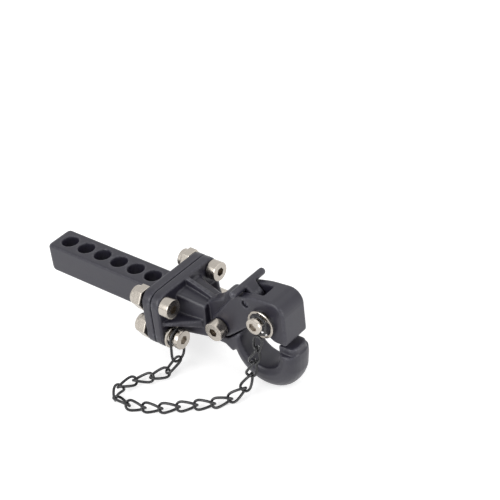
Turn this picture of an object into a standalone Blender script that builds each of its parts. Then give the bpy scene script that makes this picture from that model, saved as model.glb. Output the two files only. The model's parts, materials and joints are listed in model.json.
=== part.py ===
"""Recovery tow hook: shank bar, hook body, hinged jaw with T-latch, bolts and safety chain.

X runs along the bar from its rear end face to the hook, Z is up, and the bar axis is y = z = 0.
Sizes are in millimetres and are turned into metres when each mesh is finished.
"""

import math

import bmesh
import bpy
from mathutils import Matrix, Vector

# Scale and roundness
MM = 0.001
FINE_SIDES = 32
ARC_STEP = math.radians(15)
EDGE_STEPS = 3

# Clearances between neighbouring pieces
SEAT_GAP = 0.12
RUNNING_GAP = 0.06
LINK_GAP = 0.2

# Shank bar
BAR_WIDTH = 6.0
BAR_CORNER = 0.45
BAR_END_ROUND = 0.9
BAR_HOLE_RADIUS = 1.66
BAR_HOLE_FIRST = 3.49
BAR_HOLE_PITCH = 4.24
BAR_HOLE_COUNT = 6

# Flange plates
REAR_PLATE_BACK = 29.37
REAR_PLATE_THICKNESS = 2.0
FRONT_PLATE_THICKNESS = 1.9
PLATE_HALF_WIDTH = 8.28
PLATE_TOP = 6.07
PLATE_BOTTOM = -5.45
PLATE_CORNER = 2.3
PLATE_EDGE = 0.42
PLATE_SEAM_EDGE = 0.2
BOLT_Y = 6.5
BOLT_Z_TOP = 3.76
BOLT_Z_BOTTOM = -2.51

# Socket-head bolts and lock nuts
M2_HEAD_RADIUS = 1.85
M2_HEAD_LENGTH = 2.0
M2_SHANK_RADIUS = 1.0
M2_SOCKET_ACROSS = 1.5
M16_HEAD_RADIUS = 1.5
M16_HEAD_LENGTH = 0.75
M16_SHANK_RADIUS = 0.8
M16_SOCKET_ACROSS = 1.5
SOCKET_DEPTH_SHARE = 0.58
PLAIN_LENGTH = 0.5
CHAIN_HEAD_LENGTH = 0.9
CHAIN_SHOULDER_RADIUS = 1.25
CHAIN_SHOULDER_LENGTH = 2.45
HEAD_CHAMFER = 0.18
NUT_ACROSS = 4.0
NUT_HEX_LENGTH = 1.75
NUT_COLLAR_RADIUS = 1.8
NUT_COLLAR_LENGTH = 0.95
BOLT_TIP_STANDS = 0.25

# Boss, rib and gussets of the hook body, each pair at the plate and at the boss's end
BOSS_END = 39.2
BOSS_END_EDGE = 0.22
BOSS_TOP_HALF_WIDTH = (3.35, 2.45)
BOSS_BASE_HALF_WIDTH = (4.3, 3.05)
BOSS_TOP = (4.5, 3.35)
BOSS_BOTTOM = (-3.75, -3.5)
BOSS_CORNER = 0.9
RIB_HALF_WIDTH = (0.45, 0.5)
RIB_TOP = (5.95, 4.3)
GUSSET_HALF_WIDTH = (7.75, 2.85)
GUSSET_TOP = (0.6, 0.3)
GUSSET_BOTTOM = (-0.1, -1.35)

# Hinge of the jaw
PIVOT_X = 43.0
PIVOT_Z = 0.85
CHEEK_END_RADIUS = 2.35
CHEEK_SWING_GAP = 0.25

# Upper jaw
JAW_HALF_WIDTH = 3.0
JAW_EDGE = 0.4
JAW_TOP_ANGLE = math.radians(51.3)
JAW_BOTTOM_ANGLE = math.radians(39.9)
JAW_SHOULDER = (46.7, 9.1)
JAW_CREST = (51.0, 10.25)
JAW_NOSE = (57.6, 10.95)
JAW_NOSE_ROUND = 2.5
JAW_TIP_Z = 2.2
JAW_TIP_BACK = 55.0
JAW_ARCH_FRONT = 52.9
JAW_ARCH_Z = 3.4
SLOT_HALF_WIDTH = 1.5
SLOT_FRONT_TOP = (52.64, 10.9)
SLOT_FRONT_BOTTOM = (50.4, 3.0)

# Middle lug
LUG_HALF_WIDTH = 1.35

# Lower hook
THROAT_X = 51.2
THROAT_Z = -0.8
THROAT_RADIUS = 4.3
OUTER_X = 51.66
OUTER_Z = -2.55
OUTER_RADIUS = 7.05
SPOKE_X = 51.4
SPOKE_Z = -1.6
HOOK_HALF_WIDTH = 3.0
HOOK_INNER_HALF_WIDTH = 2.4
BACK_FULLNESS = 0.85
LAND = 1.1
LAND_REAR = 0.5
HORN_TOP = -0.3
HORN_FRONT = 58.75
TONGUE_HALF_WIDTH = 2.1
TONGUE_TOP = 1.05
TONGUE_FRONT = 58.45

# Latch
LATCH_PIN_X = 49.32
LATCH_PIN_Z = 8.19
LATCH_PIN_RADIUS = 0.65
LATCH_PIN_HALF_LENGTH = 2.6
LATCH_EYE_RADIUS = 1.15
LATCH_BAR_X = 47.8
LATCH_BAR_Z = 10.25
LATCH_BAR_RADIUS = 0.7
LATCH_BAR_HALF_LENGTH = 3.85
LATCH_STEM_HALF_WIDTH = 1.2

# Lock bolt and rings
PIVOT_HEAD_STANDS = 0.2
LOCK_BOLT_X = 53.5
LOCK_BOLT_Z = 7.13
LOCK_HEAD_STANDS = 2.5
LOCK_BOLT_DEPTH = 2.4
LOCK_RING_Y = -3.7
RING_OUTER = 2.7
RING_INNER = 2.25
RING_WIDTH = 0.42
FLANGE_RING_OUTER = 2.05
FLANGE_RING_INNER = 1.62
FLANGE_RING_X = 34.2

# Safety chain
WIRE_RADIUS = 0.25
WIRE_SIDES = 6
LINK_STEPS = 20
LINK_HALF_WIDTH = 0.93
END_LINK_HALF_WIDTH = 1.42
END_LINK_GAP = 0.17
LAST_LINK_Y = -4.6
CHAIN_LINKS = 19
CHAIN_ON_FLOOR = -8.7
LINK_FACING = Vector((0.5, -0.55, 0.67))

SEAM = REAR_PLATE_BACK + REAR_PLATE_THICKNESS
FRONT_PLATE_BACK = SEAM + SEAT_GAP
FRONT_PLATE_FACE = FRONT_PLATE_BACK + FRONT_PLATE_THICKNESS
PIVOT = Vector((PIVOT_X, 0.0, PIVOT_Z))
LATCH_AXIS = Vector((LATCH_PIN_X, 0.0, LATCH_PIN_Z))


def clear_scene():
    for obj in list(bpy.data.objects):
        bpy.data.objects.remove(obj, do_unlink=True)


def material(name, colour, metallic, roughness):
    made = bpy.data.materials.new(name)
    made.use_nodes = True
    shader = made.node_tree.nodes["Principled BSDF"]
    shader.inputs["Base Color"].default_value = (*colour, 1.0)
    shader.inputs["Metallic"].default_value = metallic
    shader.inputs["Roughness"].default_value = roughness
    return made


def solid(name, rings):
    """A closed body through equal rings of points, capped at the first and the last."""
    count = len(rings[0])
    verts = [point for ring in rings for point in ring]
    faces = []
    for level in range(len(rings) - 1):
        for index in range(count):
            after = (index + 1) % count
            low = level * count
            high = low + count
            faces.append((low + index, low + after, high + after, high + index))
    faces.append(tuple(range(count - 1, -1, -1)))
    faces.append(tuple(range((len(rings) - 1) * count, len(rings) * count)))
    return mesh_object(name, verts, faces)


def mesh_object(name, verts, faces):
    mesh = bpy.data.meshes.new(name)
    mesh.from_pydata([tuple(point) for point in verts], [], faces)
    shape = bmesh.new()
    shape.from_mesh(mesh)
    bmesh.ops.recalc_face_normals(shape, faces=shape.faces)
    shape.to_mesh(mesh)
    shape.free()
    made = bpy.data.objects.new(name, mesh)
    bpy.context.scene.collection.objects.link(made)
    return made


def placed(point, along, axis):
    """A flat outline point and its place along the named axis, as a point in space."""
    first, second = point
    if axis == "X":
        return Vector((along, first, second))
    if axis == "Y":
        return Vector((first, along, second))
    return Vector((first, second, along))


def filleted(corners):
    """A closed outline through (a, b, radius) corners, each rounded by its own radius."""
    outline = []
    count = len(corners)
    for index, (a, b, radius) in enumerate(corners):
        here = Vector((a, b))
        before = Vector(corners[index - 1][:2])
        after = Vector(corners[(index + 1) % count][:2])
        back = (before - here).normalized()
        ahead = (after - here).normalized()
        half = back.angle(ahead) / 2
        if radius <= 0 or half > math.radians(89.5):
            outline.append(here)
            continue
        centre = here + (back + ahead).normalized() * radius / math.sin(half)
        start = here + back * radius / math.tan(half) - centre
        turn = math.pi - 2 * half
        if back.x * ahead.y - back.y * ahead.x > 0:
            turn = -turn
        steps = max(2, math.ceil(abs(turn) / ARC_STEP))
        for step in range(steps + 1):
            angle = turn * step / steps
            cos, sin = math.cos(angle), math.sin(angle)
            outline.append(centre + Vector((start.x * cos - start.y * sin, start.x * sin + start.y * cos)))
    return outline


def signed_area(outline):
    return sum(p.x * q.y - q.x * p.y for p, q in zip(outline, outline[1:] + outline[:1])) / 2


def inset(outline, distance):
    """The outline moved inwards by a distance, point for point."""
    side = 1 if signed_area(outline) > 0 else -1
    moved = []
    for index, here in enumerate(outline):
        before = (here - outline[index - 1]).normalized()
        after = (outline[(index + 1) % len(outline)] - here).normalized()
        normal = Vector((-(before.y + after.y), before.x + after.x)).normalized() * side
        flat = Vector((-after.y, after.x)) * side
        moved.append(here + normal * distance / max(normal.dot(flat), 0.5))
    return moved


def slab(name, outline, axis, low, high, low_edge=0.0, high_edge=0.0):
    """The outline carried along an axis, with its edges rounded at either end."""
    stations = []
    for edge, place, way in ((low_edge, low, 1), (high_edge, high, -1)):
        steps = EDGE_STEPS if edge > 0 else 0
        found = []
        for step in range(steps + 1):
            angle = math.pi / 2 * step / max(steps, 1)
            if steps:
                found.append((place + way * edge * (1 - math.cos(angle)), edge * (1 - math.sin(angle))))
            else:
                found.append((place, 0.0))
        stations += found if way > 0 else found[::-1]
    rings = []
    for along, shrink in stations:
        outline_here = inset(outline, shrink) if shrink > 0 else outline
        rings.append([placed(point, along, axis) for point in outline_here])
    return solid(name, rings)


def circle(a, b, radius, sides=FINE_SIDES):
    turns = [2 * math.pi * (step + 0.5) / sides for step in range(sides)]
    return [Vector((a + radius * math.cos(turn), b + radius * math.sin(turn))) for turn in turns]


def rod(name, centre, axis, radius, low, high, edge=0.0, sides=FINE_SIDES):
    return slab(name, circle(centre[0], centre[1], radius, sides), axis, low, high, edge, edge)


def rounded_box(half_width, bottom, top, corner):
    """Corners of a rounded rectangle across the bar, symmetrical about y = 0."""
    return filleted(
        [
            (-half_width, bottom, corner),
            (half_width, bottom, corner),
            (half_width, top, corner),
            (-half_width, top, corner),
        ]
    )


def combine(target, other, operation):
    """Joins or cuts with another object, which is then removed."""
    boolean = target.modifiers.new("cut", "BOOLEAN")
    boolean.operation = operation
    boolean.solver = "EXACT"
    boolean.object = other
    bpy.context.view_layer.objects.active = target
    bpy.ops.object.modifier_apply(modifier=boolean.name)
    bpy.data.objects.remove(other, do_unlink=True)
    return target


def cut(target, *others):
    for other in others:
        combine(target, other, "DIFFERENCE")
    return target


def join(target, *others):
    for other in others:
        combine(target, other, "UNION")
    return target


def finish(obj, surface, origin=None, smooth_angle=40):
    """Turns the mesh into metres, sets its origin, material and smooth shading."""
    origin = origin or Vector((0.0, 0.0, 0.0))
    obj.data.transform(Matrix.Scale(MM, 4) @ Matrix.Translation(-origin))
    obj.location = origin * MM
    obj.data.materials.clear()
    obj.data.materials.append(surface)
    bpy.ops.object.select_all(action="DESELECT")
    obj.select_set(True)
    bpy.context.view_layer.objects.active = obj
    bpy.ops.object.shade_smooth_by_angle(angle=math.radians(smooth_angle))
    return obj


# Receiver bar
def flange_outline():
    return rounded_box(PLATE_HALF_WIDTH, PLATE_BOTTOM, PLATE_TOP, PLATE_CORNER)


def bolt_places():
    """Top pair first, then the bottom pair; the third is the near bottom one, which holds the chain."""
    return [(-BOLT_Y, BOLT_Z_TOP), (BOLT_Y, BOLT_Z_TOP), (-BOLT_Y, BOLT_Z_BOTTOM), (BOLT_Y, BOLT_Z_BOTTOM)]


def bolt_holes(low, high):
    radius = M2_SHANK_RADIUS + RUNNING_GAP
    return [rod("hole", place, "X", radius, low, high, sides=24) for place in bolt_places()]


def build_receiver_bar(surface):
    half = BAR_WIDTH / 2
    rings = []
    steps = 4
    for step in range(steps + 1):
        angle = math.pi / 2 * step / steps
        place = BAR_END_ROUND * (1 - math.cos(angle))
        shrink = BAR_END_ROUND * (1 - math.sin(angle))
        ring = inset(rounded_box(half, -half, half, BAR_END_ROUND + BAR_CORNER / 3), shrink)
        square = rounded_box(half - shrink, shrink - half, half - shrink, BAR_CORNER)
        share = step / steps
        rings.append([placed(a.lerp(b, share), place, "X") for a, b in zip(ring, square)])
    section = rounded_box(half, -half, half, BAR_CORNER)
    rings.append([placed(point, REAR_PLATE_BACK + 0.5, "X") for point in section])
    bar = solid("receiver_bar", rings)
    plate = slab("plate", flange_outline(), "X", REAR_PLATE_BACK, SEAM, PLATE_EDGE, PLATE_SEAM_EDGE)
    join(bar, plate)
    cut(bar, *bolt_holes(REAR_PLATE_BACK - 1, SEAM + 1))
    for index in range(BAR_HOLE_COUNT):
        place = (BAR_HOLE_FIRST + index * BAR_HOLE_PITCH, 0.0)
        cut(bar, rod("hole", place, "Z", BAR_HOLE_RADIUS, -BAR_WIDTH, BAR_WIDTH))
    return finish(bar, surface)


# Hook body
def between(first, second, place, start, end):
    share = (place - start) / (end - start)
    return first + (second - first) * share


def tapered(name, start, end, ring_at):
    """A body between two places along the bar, from the ring at each."""
    return solid(name, [[placed(p, place, "X") for p in ring_at(place)] for place in (start, end)])


def spoke(angle, centre_x, centre_z, radius):
    """Where a ray from the spoke centre at this angle meets a circle."""
    way = Vector((math.cos(angle), math.sin(angle)))
    offset = Vector((SPOKE_X - centre_x, SPOKE_Z - centre_z))
    along = offset.dot(way)
    reach = -along + math.sqrt(along * along - offset.length_squared + radius * radius)
    return Vector((SPOKE_X, SPOKE_Z)) + way * reach


def hook_section(inner, outer, land):
    """A ring of the lower hook: flat inner wall, side lands and a bulging outer back."""
    depth = (outer - inner).length
    way = (outer - inner).normalized()
    spread = HOOK_HALF_WIDTH - HOOK_INNER_HALF_WIDTH
    side = [(land * share, HOOK_INNER_HALF_WIDTH + spread * math.sqrt(share)) for share in (0.0, 0.12, 0.45)]
    steps = 12
    back = []
    for step in range(steps + 1):
        angle = math.pi * step / steps
        deep = math.sin(angle) ** BACK_FULLNESS
        across = math.copysign(abs(math.cos(angle)) ** BACK_FULLNESS, math.cos(angle))
        back.append((land + (depth - land) * deep, HOOK_HALF_WIDTH * across))
    points = side + back + [(deep, -across) for deep, across in reversed(side)]
    return [Vector((inner.x + way.x * deep, across, inner.y + way.y * deep)) for deep, across in points]


def lower_hook():
    rings = []
    first, last, step = -222, -20, 7
    angles = list(range(first, last, step)) + [last]
    for degrees in angles:
        angle = math.radians(degrees)
        inner = spoke(angle, THROAT_X, THROAT_Z, THROAT_RADIUS)
        outer = spoke(angle, OUTER_X, OUTER_Z, OUTER_RADIUS)
        share = min(max((degrees + 190) / 90, 0.0), 1.0)
        land = LAND_REAR + (LAND - LAND_REAR) * share
        rings.append(hook_section(inner, outer, land))
    throat_front = THROAT_X + THROAT_RADIUS
    rings.append(hook_section(Vector((throat_front, -1.5)), Vector((HORN_FRONT, -1.7)), LAND))
    rings.append(hook_section(Vector((throat_front - 0.05, HORN_TOP)), Vector((HORN_FRONT, HORN_TOP)), LAND))
    return solid("lower_hook", rings)


def throat_wall(height):
    """Where the front wall of the throat stands at a height."""
    rise = height - THROAT_Z
    return THROAT_X + math.sqrt(THROAT_RADIUS * THROAT_RADIUS - rise * rise)


def jaw_outline(grow=0.0):
    """Side outline of the jaw as (x, z), wound about the pivot end first."""
    reach = CHEEK_END_RADIUS / math.sin((JAW_TOP_ANGLE - JAW_BOTTOM_ANGLE) / 2)
    middle = (JAW_TOP_ANGLE + JAW_BOTTOM_ANGLE) / 2
    apex = (PIVOT_X - reach * math.cos(middle), PIVOT_Z - reach * math.sin(middle))
    slope = math.tan(JAW_BOTTOM_ANGLE)
    low_x = PIVOT_X + CHEEK_END_RADIUS * math.sin(JAW_BOTTOM_ANGLE)
    low_z = PIVOT_Z - CHEEK_END_RADIUS * math.cos(JAW_BOTTOM_ANGLE)
    arch_x = low_x + (JAW_ARCH_Z - low_z) / slope
    outline = filleted(
        [
            (*apex, CHEEK_END_RADIUS),
            (arch_x, JAW_ARCH_Z, 2.5),
            (JAW_ARCH_FRONT, JAW_ARCH_Z, 1.2),
            (JAW_TIP_BACK, JAW_TIP_Z, 0.8),
            (JAW_NOSE[0], JAW_TIP_Z, 0.5),
            (*JAW_NOSE, JAW_NOSE_ROUND),
            (*JAW_CREST, 12.0),
            (*JAW_SHOULDER, 2.6),
        ]
    )
    return inset(outline, -grow) if grow else outline


def build_hook_body(surface):
    body = slab(
        "hook_body", flange_outline(), "X", FRONT_PLATE_BACK, FRONT_PLATE_FACE, PLATE_SEAM_EDGE, PLATE_EDGE
    )
    start = FRONT_PLATE_FACE - 0.3

    def sizes(place, *pairs):
        return [between(*pair, place, FRONT_PLATE_FACE, BOSS_END) for pair in pairs]

    def boss_ring(place):
        high, low, top, bottom = sizes(place, BOSS_TOP_HALF_WIDTH, BOSS_BASE_HALF_WIDTH, BOSS_TOP, BOSS_BOTTOM)
        corners = [(-low, bottom), (low, bottom), (high, top), (-high, top)]
        return filleted([(*corner, BOSS_CORNER) for corner in corners])

    def rib_ring(place):
        half, top = sizes(place, RIB_HALF_WIDTH, RIB_TOP)
        return rounded_box(half, 0.0, top, 0.2)

    def gusset_ring(place):
        half, top, bottom = sizes(place, GUSSET_HALF_WIDTH, GUSSET_TOP, GUSSET_BOTTOM)
        return rounded_box(half, bottom, top, 0.15)

    rings = [[placed(point, start, "X") for point in boss_ring(start)]]
    for step in range(EDGE_STEPS + 1):
        angle = math.pi / 2 * step / EDGE_STEPS
        place = BOSS_END - BOSS_END_EDGE * (1 - math.sin(angle))
        shrink = BOSS_END_EDGE * (1 - math.cos(angle))
        rings.append([placed(point, place, "X") for point in inset(boss_ring(place), shrink)])
    join(body, solid("boss", rings))
    join(body, tapered("rib", start + 0.05, BOSS_END + 1.1, rib_ring))
    join(body, tapered("gusset", start + 0.1, BOSS_END - 0.45, gusset_ring))
    neck = slab(
        "neck",
        filleted(
            [
                (38.8, -3.3, 0.0),
                (43.4, -3.1, 1.0),
                (44.9, -4.2, 0.0),
                (46.5, -2.4, 0.0),
                (46.5, -0.4, 0.0),
                (47.5, 1.7, 0.0),
                (46.0, 2.5, 0.0),
                (43.0, 1.2, 0.0),
                (41.4, -1.9, 0.7),
                (38.8, -1.9, 0.0),
            ]
        ),
        "Y",
        -HOOK_HALF_WIDTH + 0.03,
        HOOK_HALF_WIDTH - 0.03,
        0.5,
        0.5,
    )
    join(body, lower_hook())
    join(body, neck)
    swing = jaw_outline(CHEEK_SWING_GAP)
    reach = JAW_HALF_WIDTH + 1.5
    cut(body, slab("swing", swing, "Y", -reach, -LUG_HALF_WIDTH), slab("swing", swing, "Y", LUG_HALF_WIDTH, reach))
    lug = slab(
        "lug",
        filleted(
            [
                (38.9, -2.2, 0.0),
                (46.0, -2.4, 0.0),
                (47.15, 1.2, 0.3),
                (46.7, 6.4, 1.0),
                (45.9, 8.0, 1.0),
                (43.3, 7.95, 1.5),
                (43.15, 5.75, 0.4),
                (42.0, 5.4, 0.6),
                (39.6, 4.0, 0.5),
                (38.9, 3.9, 0.0),
            ]
        ),
        "Y",
        -LUG_HALF_WIDTH,
        LUG_HALF_WIDTH,
        0.15,
        0.15,
    )
    join(body, lug)
    back = throat_wall(TONGUE_TOP)
    half = TONGUE_HALF_WIDTH
    plan = filleted(
        [
            (back, -half, 0.0),
            (TONGUE_FRONT - 0.9, -half, 0.5),
            (TONGUE_FRONT, -half * 0.72, 0.9),
            (TONGUE_FRONT, half * 0.72, 0.9),
            (TONGUE_FRONT - 0.9, half, 0.5),
            (back, half, 0.0),
        ]
    )
    tongue = slab("tongue", plan, "Z", HORN_TOP - 0.4, TONGUE_TOP, 0.0, 0.18)
    join(body, tongue)
    bore = rod("bore", (PIVOT_X, PIVOT_Z), "Y", M2_SHANK_RADIUS + RUNNING_GAP, -4, 4, sides=24)
    cut(body, bore)
    cut(body, *bolt_holes(FRONT_PLATE_BACK - 1, FRONT_PLATE_FACE + 0.6))
    return finish(body, surface)


# Upper jaw
def build_upper_jaw(surface):
    jaw = slab("upper_jaw", jaw_outline(), "Y", -JAW_HALF_WIDTH, JAW_HALF_WIDTH, JAW_EDGE, JAW_EDGE)
    fork = [
        Vector((PIVOT_X - 8, -6.0)),
        Vector((SLOT_FRONT_BOTTOM[0] - 0.29, 2.0)),
        Vector(SLOT_FRONT_TOP) + Vector((0.29, 1.0)),
        Vector((PIVOT_X - 8, 11.9)),
    ]
    cut(jaw, slab("fork", fork, "Y", -SLOT_HALF_WIDTH, SLOT_HALF_WIDTH))
    cut(jaw, rod("bore", (PIVOT_X, PIVOT_Z), "Y", M2_SHANK_RADIUS + RUNNING_GAP, -4, 4, sides=24))
    cut(jaw, rod("bore", (LATCH_PIN_X, LATCH_PIN_Z), "Y", LATCH_PIN_RADIUS + RUNNING_GAP, -4, 4, sides=20))
    hole_end = -JAW_HALF_WIDTH + LOCK_BOLT_DEPTH + 0.3
    cut(jaw, rod("bore", (LOCK_BOLT_X, LOCK_BOLT_Z), "Y", M16_SHANK_RADIUS + RUNNING_GAP, -4, hole_end, sides=20))
    return finish(jaw, surface, PIVOT)


# Latch and its pin
def build_latch(surface):
    bar = rod(
        "latch",
        (LATCH_BAR_X, LATCH_BAR_Z),
        "Y",
        LATCH_BAR_RADIUS,
        -LATCH_BAR_HALF_LENGTH - LATCH_BAR_RADIUS * 0.9,
        LATCH_BAR_HALF_LENGTH + LATCH_BAR_RADIUS * 0.9,
        LATCH_BAR_RADIUS * 0.75,
        20,
    )
    eye = circle(LATCH_PIN_X, LATCH_PIN_Z, LATCH_EYE_RADIUS, 24)
    way = Vector((LATCH_BAR_X - LATCH_PIN_X, LATCH_BAR_Z - LATCH_PIN_Z)).normalized()
    side = Vector((way.y, -way.x))
    pin = Vector((LATCH_PIN_X, LATCH_PIN_Z))
    top = Vector((LATCH_BAR_X, LATCH_BAR_Z))
    width = LATCH_EYE_RADIUS * 0.98
    stem = [
        top + side * 0.74 + way * 0.2,
        top - side * 0.74 + way * 0.2,
        pin - side * width,
        pin - side * width * 0.6 - way * 0.75,
        pin + side * width * 0.6 - way * 0.75,
        pin + side * width,
    ]
    half = LATCH_STEM_HALF_WIDTH
    join(bar, slab("stem", stem, "Y", -half, half, 0.15, 0.15))
    join(bar, slab("eye", eye, "Y", -half + 0.02, half - 0.02))
    cut(bar, rod("bore", (LATCH_PIN_X, LATCH_PIN_Z), "Y", LATCH_PIN_RADIUS + RUNNING_GAP, -4, 4, sides=20))
    return finish(bar, surface, LATCH_AXIS)


def build_latch_pin(surface):
    half = LATCH_PIN_HALF_LENGTH
    return finish(rod("latch_pin", (LATCH_PIN_X, LATCH_PIN_Z), "Y", LATCH_PIN_RADIUS, -half, half, 0.1, 20), surface)


# Bolts, nuts and rings
def revolve(name, profile, sides):
    """A round body about local Z through (radius, height) stations."""
    rings = []
    for radius, height in profile:
        rings.append([Vector((p.x, p.y, height)) for p in circle(0.0, 0.0, radius, sides)])
    return solid(name, rings)


def hexagon(across):
    radius = across / math.sqrt(3)
    turns = [math.pi / 3 * step for step in range(6)]
    return [Vector((radius * math.cos(turn), radius * math.sin(turn))) for turn in turns]


def socket_bolt(name, head, shank, shoulder, across, turn, face, way, surface):
    """A socket-head bolt whose head face centre is at a point and whose head looks along a way.

    The head, the shank and the shoulder under the head are each (radius, length).
    """
    head_radius, head_length = head
    shank_radius, shank_length = shank
    shoulder_radius, shoulder_length = shoulder
    bolt = revolve(
        name,
        [
            (shank_radius - 0.15, -shank_length),
            (shank_radius, 0.15 - shank_length),
            (shank_radius, -shoulder_length),
            (shoulder_radius, -shoulder_length),
            (shoulder_radius, 0.0),
            (head_radius - 0.1, 0.0),
            (head_radius, 0.1),
            (head_radius, head_length - HEAD_CHAMFER),
            (head_radius - HEAD_CHAMFER * 0.35, head_length - HEAD_CHAMFER * 0.3),
            (head_radius - HEAD_CHAMFER, head_length),
        ],
        FINE_SIDES,
    )
    depth = head_length * SOCKET_DEPTH_SHARE
    cut(bolt, slab("socket", hexagon(across), "Z", head_length - depth, head_length + 1))
    facing = Vector(way).to_track_quat("Z", "Y").to_matrix().to_4x4()
    base = Vector(face) - Vector(way) * head_length
    bolt.data.transform(Matrix.Translation(base) @ facing @ Matrix.Rotation(turn, 4, "Z"))
    return finish(bolt, surface)


def lock_nut(name, place, surface):
    """A lock nut with its seat against the back of the rear plate."""
    seat = REAR_PLATE_BACK - SEAT_GAP
    outline = [Vector((place[0], place[1])) + point for point in hexagon(NUT_ACROSS)]
    hex_end = seat - NUT_HEX_LENGTH
    nut = slab(name, outline, "X", hex_end, seat, 0.18, 0.12)
    collar_end = hex_end - NUT_COLLAR_LENGTH
    join(nut, rod("collar", place, "X", NUT_COLLAR_RADIUS, collar_end, hex_end + 0.3, 0.2, 24))
    cut(nut, rod("bore", place, "X", M2_SHANK_RADIUS + RUNNING_GAP, collar_end - 1, seat + 1, sides=24))
    return finish(nut, surface)


def build_flange_bolts(surface):
    seat = FRONT_PLATE_FACE + 0.08
    end = REAR_PLATE_BACK - SEAT_GAP - NUT_HEX_LENGTH - NUT_COLLAR_LENGTH - BOLT_TIP_STANDS
    for index, (y, z) in enumerate(bolt_places(), 1):
        head_length, shoulder = M2_HEAD_LENGTH, (M2_SHANK_RADIUS, PLAIN_LENGTH)
        under = seat
        if index == 3:
            head_length, shoulder = CHAIN_HEAD_LENGTH, (CHAIN_SHOULDER_RADIUS, CHAIN_SHOULDER_LENGTH)
            under = seat + CHAIN_SHOULDER_LENGTH
        socket_bolt(
            f"flange_bolt_{index}",
            (M2_HEAD_RADIUS, head_length),
            (M2_SHANK_RADIUS, under - end),
            shoulder,
            M2_SOCKET_ACROSS,
            math.radians(17 + 23 * index),
            (under + head_length, y, z),
            (1.0, 0.0, 0.0),
            surface,
        )
        lock_nut(f"flange_nut_{index}", (y, z), surface)


def build_side_bolts(surface):
    reach = JAW_HALF_WIDTH + PIVOT_HEAD_STANDS
    socket_bolt(
        "pivot_bolt",
        (M2_HEAD_RADIUS, M2_HEAD_LENGTH),
        (M2_SHANK_RADIUS, reach + JAW_HALF_WIDTH),
        (M2_SHANK_RADIUS, PLAIN_LENGTH),
        M2_SOCKET_ACROSS,
        math.radians(10),
        (PIVOT_X, -reach - M2_HEAD_LENGTH, PIVOT_Z),
        (0.0, -1.0, 0.0),
        surface,
    )
    socket_bolt(
        "lock_bolt",
        (M16_HEAD_RADIUS, M16_HEAD_LENGTH),
        (M16_SHANK_RADIUS, LOCK_HEAD_STANDS + LOCK_BOLT_DEPTH),
        (M16_SHANK_RADIUS, PLAIN_LENGTH),
        M16_SOCKET_ACROSS,
        math.radians(25),
        (LOCK_BOLT_X, -JAW_HALF_WIDTH - LOCK_HEAD_STANDS - M16_HEAD_LENGTH, LOCK_BOLT_Z),
        (0.0, -1.0, 0.0),
        surface,
    )


def ring_body(name, centre, axis, outer, inner, width, surface):
    """A thin ring whose section has rounded corners."""
    half = width / 2
    edge = min(half, (outer - inner) / 2) * 0.5
    section = [
        (inner, edge - half),
        (inner + edge, -half),
        (outer - edge, -half),
        (outer, edge - half),
        (outer, half - edge),
        (outer - edge, half),
        (inner + edge, half),
        (inner, half - edge),
    ]
    sides = FINE_SIDES
    verts = []
    faces = []
    for step in range(sides):
        turn = 2 * math.pi * step / sides
        for radius, along in section:
            point = (centre[0] + radius * math.cos(turn), centre[1] + radius * math.sin(turn))
            verts.append(placed(point, centre[2] + along, axis))
    count = len(section)
    for step in range(sides):
        low = step * count
        high = (step + 1) % sides * count
        for index in range(count):
            after = (index + 1) % count
            faces.append((low + index, low + after, high + after, high + index))
    return finish(mesh_object(name, verts, faces), surface)


def build_rings(surface):
    drop = RING_INNER - M16_SHANK_RADIUS - RUNNING_GAP
    lean = math.radians(20)
    centre = (LOCK_BOLT_X - drop * math.sin(lean), LOCK_BOLT_Z - drop * math.cos(lean), LOCK_RING_Y)
    ring_body("lock_ring", centre, "Y", RING_OUTER, RING_INNER, RING_WIDTH, surface)
    drop = FLANGE_RING_INNER - CHAIN_SHOULDER_RADIUS - RUNNING_GAP
    lean = math.radians(-8)
    centre = (-BOLT_Y + drop * math.sin(lean), BOLT_Z_BOTTOM - drop * math.cos(lean), FLANGE_RING_X)
    ring_body("flange_ring", centre, "X", FLANGE_RING_OUTER, FLANGE_RING_INNER, RING_WIDTH, surface)


# Safety chain
def chain_path():
    """Where the chain runs, from the flange bolt over the floor to the lock bolt."""
    low = CHAIN_ON_FLOOR
    return [
        Vector((35.2, -6.66, -4.1)),
        Vector((35.25, -6.95, -7.1)),
        Vector((34.8, -9.2, -8.5)),
        Vector((33.2, -12.0, low)),
        Vector((31.2, -14.1, low)),
        Vector((29.9, -16.5, low)),
        Vector((30.4, -18.8, low)),
        Vector((32.3, -20.1, low)),
        Vector((34.7, -20.0, low)),
        Vector((36.9, -19.2, low)),
        Vector((39.9, -17.7, low)),
        Vector((44.2, -14.1, low)),
        Vector((47.9, -10.9, low)),
        Vector((49.8, -7.9, low + 0.5)),
        Vector((50.7, -6.0, -6.3)),
        Vector((51.3, -5.3, -3.6)),
        Vector((52.2, -5.05, -0.3)),
        Vector((53.0, -4.5, 3.5)),
        Vector((LOCK_BOLT_X, LAST_LINK_Y, LOCK_BOLT_Z)),
    ]


def smooth_path(points, steps=24):
    """Catmull-Rom curve through the points."""
    ends = [points[0] * 2 - points[1]] + points + [points[-1] * 2 - points[-2]]
    found = []
    for a, b, c, d in zip(ends, ends[1:], ends[2:], ends[3:]):
        for step in range(steps):
            t = step / steps
            found.append(
                0.5 * ((2 * b) + (c - a) * t + (2 * a - 5 * b + 4 * c - d) * t * t + (3 * b - a - 3 * c + d) * t**3)
            )
    return found + [points[-1]]


def joints_along(path, count):
    """Points that divide the path into lengths that are all the same."""
    lengths = [0.0]
    for before, after in zip(path, path[1:]):
        lengths.append(lengths[-1] + (after - before).length)
    found = []
    index = 0
    for step in range(count + 1):
        target = lengths[-1] * step / count
        while index < len(path) - 2 and lengths[index + 1] < target:
            index += 1
        share = (target - lengths[index]) / (lengths[index + 1] - lengths[index])
        found.append(path[index].lerp(path[index + 1], share))
    return found


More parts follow.
